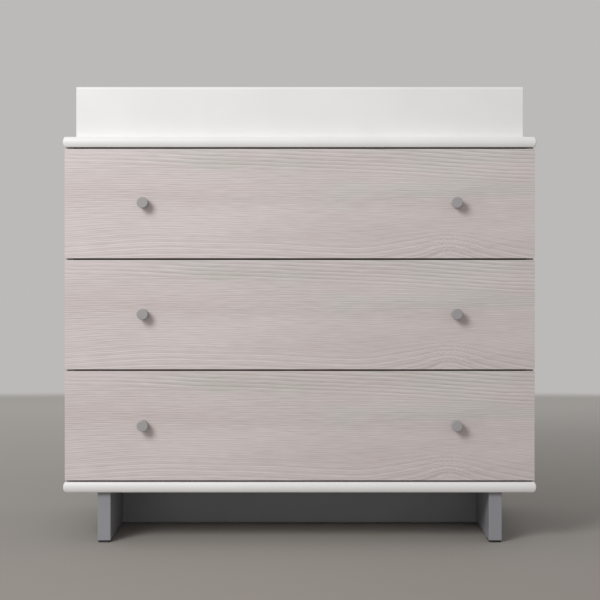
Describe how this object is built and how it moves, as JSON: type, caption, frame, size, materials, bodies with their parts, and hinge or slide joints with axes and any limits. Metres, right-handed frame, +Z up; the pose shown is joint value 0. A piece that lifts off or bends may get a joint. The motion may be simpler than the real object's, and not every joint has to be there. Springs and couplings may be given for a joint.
{
  "type": "changing table",
  "caption": "Wide changing table: chest of full-width drawers with round knobs, crowned slabs above and below, a set-in base, and an open-topped tray for a changing pad.",
  "frame": {"origin": "on the floor, under the middle of the whole outline", "axes": "+Z up, the drawers open towards -Y, +X along the fronts to the right as seen from the front"},
  "size_m": [1.017, 0.5288, 0.984],
  "materials": {
    "white_laminate": "white satin laminate on fibreboard",
    "woodgrain_laminate": "pale woodgrain laminate, grain along the drawer fronts",
    "grey_paint": "satin grey paint",
    "knob_grey": "satin grey paint",
    "drawer_foil": "matt printed foil on chipboard",
    "faced_hardboard": "painted face of thin hardboard",
    "raw_hardboard": "raw brown hardboard",
    "zinc_steel": "bright zinc plate",
    "glide_plastic": "moulded black plastic"
  },
  "bodies": {
    "root": {"top_panel": "white_laminate", "bottom_panel": "white_laminate", "side_panel_left": "woodgrain_laminate", "side_panel_right": "woodgrain_laminate", "back_panel": "raw_hardboard", "back_rail": "drawer_foil", "base_side_left": "grey_paint", "base_side_right": "grey_paint", "base_stretcher": "grey_paint", "glide_front_left": "glide_plastic", "glide_front_right": "glide_plastic", "glide_back_left": "glide_plastic", "glide_back_right": "glide_plastic", "topper_front": "white_laminate", "topper_back": "white_laminate", "topper_left": "white_laminate", "topper_right": "white_laminate", "topper_plate_left": "zinc_steel", "topper_plate_right": "zinc_steel", "strap_loop": "zinc_steel", "case_slide_bottom_left": "zinc_steel", "case_slide_bottom_right": "zinc_steel", "case_slide_middle_left": "zinc_steel", "case_slide_middle_right": "zinc_steel", "case_slide_top_left": "zinc_steel", "case_slide_top_right": "zinc_steel"},
    "drawer_bottom": {"drawer_bottom_front": "woodgrain_laminate", "drawer_bottom_side_left": "drawer_foil", "drawer_bottom_side_right": "drawer_foil", "drawer_bottom_back": "drawer_foil", "drawer_bottom_bottom": "faced_hardboard", "drawer_bottom_knob_left": "knob_grey", "drawer_bottom_slide_left": "zinc_steel", "drawer_bottom_knob_right": "knob_grey", "drawer_bottom_slide_right": "zinc_steel"},
    "runners_bottom": {"runner_bottom_left": "zinc_steel", "runner_bottom_right": "zinc_steel"},
    "drawer_middle": {"drawer_middle_front": "woodgrain_laminate", "drawer_middle_side_left": "drawer_foil", "drawer_middle_side_right": "drawer_foil", "drawer_middle_back": "drawer_foil", "drawer_middle_bottom": "faced_hardboard", "drawer_middle_knob_left": "knob_grey", "drawer_middle_slide_left": "zinc_steel", "drawer_middle_knob_right": "knob_grey", "drawer_middle_slide_right": "zinc_steel"},
    "runners_middle": {"runner_middle_left": "zinc_steel", "runner_middle_right": "zinc_steel"},
    "drawer_top": {"drawer_top_front": "woodgrain_laminate", "drawer_top_side_left": "drawer_foil", "drawer_top_side_right": "drawer_foil", "drawer_top_back": "drawer_foil", "drawer_top_bottom": "faced_hardboard", "drawer_top_knob_left": "knob_grey", "drawer_top_slide_left": "zinc_steel", "drawer_top_knob_right": "knob_grey", "drawer_top_slide_right": "zinc_steel"},
    "runners_top": {"runner_top_left": "zinc_steel", "runner_top_right": "zinc_steel"}
  },
  "joints": [
    {"name": "drawer_bottom_slide", "type": "slide", "parent": "root", "child": "drawer_bottom", "axis": [0, -1, 0], "range_m": [0, 0.36]},
    {"name": "runners_bottom_slide", "type": "slide", "parent": "root", "child": "runners_bottom", "axis": [0, -1, 0], "range_m": [0, 0.18]},
    {"name": "drawer_middle_slide", "type": "slide", "parent": "root", "child": "drawer_middle", "axis": [0, -1, 0], "range_m": [0, 0.36]},
    {"name": "runners_middle_slide", "type": "slide", "parent": "root", "child": "runners_middle", "axis": [0, -1, 0], "range_m": [0, 0.18]},
    {"name": "drawer_top_slide", "type": "slide", "parent": "root", "child": "drawer_top", "axis": [0, -1, 0], "range_m": [0, 0.36]},
    {"name": "runners_top_slide", "type": "slide", "parent": "root", "child": "runners_top", "axis": [0, -1, 0], "range_m": [0, 0.18]}
  ],
  "couplings": [
    {"joint": "runners_bottom_slide", "follows": "drawer_bottom_slide", "ratio": 0.5},
    {"joint": "runners_middle_slide", "follows": "drawer_middle_slide", "ratio": 0.5},
    {"joint": "runners_top_slide", "follows": "drawer_top_slide", "ratio": 0.5}
  ]
}
